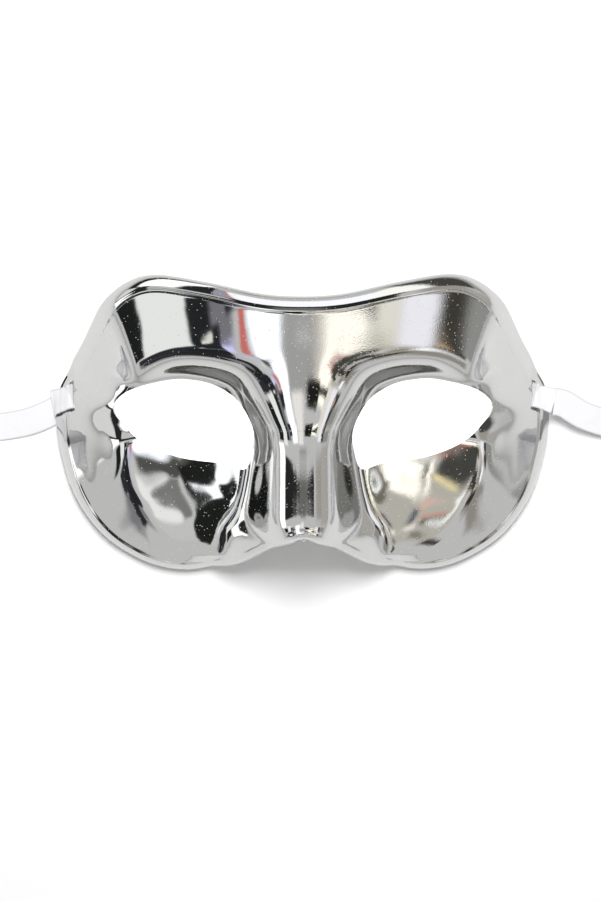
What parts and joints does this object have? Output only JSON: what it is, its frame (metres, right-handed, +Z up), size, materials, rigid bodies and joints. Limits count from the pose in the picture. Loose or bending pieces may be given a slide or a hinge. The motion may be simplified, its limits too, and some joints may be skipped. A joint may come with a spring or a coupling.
{
  "type": "party eye mask",
  "caption": "Silvered half mask with a turned-back rim, arched brow, nose bridge and almond eye holes, lying face up, with a white satin ribbon through the slot at each temple.",
  "frame": {"origin": "on the table, under the middle of the mask's outline, ribbons left out", "axes": "+X from the mask's right temple to its left temple, which is the viewer's right; +Y towards the brow; +Z up off the table"},
  "size_m": [0.358, 0.1055, 0.0623],
  "materials": {
    "silvered_plastic": "mirror bright silvering on thin formed plastic",
    "satin_ribbon": "white woven satin"
  },
  "bodies": {
    "root": {"mask_shell": "silvered_plastic", "left_ribbon_loop": "satin_ribbon", "right_ribbon_loop": "satin_ribbon", "left_ribbon_tail": "satin_ribbon", "right_ribbon_tail": "satin_ribbon", "left_ribbon_coil": "satin_ribbon", "right_ribbon_coil": "satin_ribbon"}
  },
  "joints": []
}
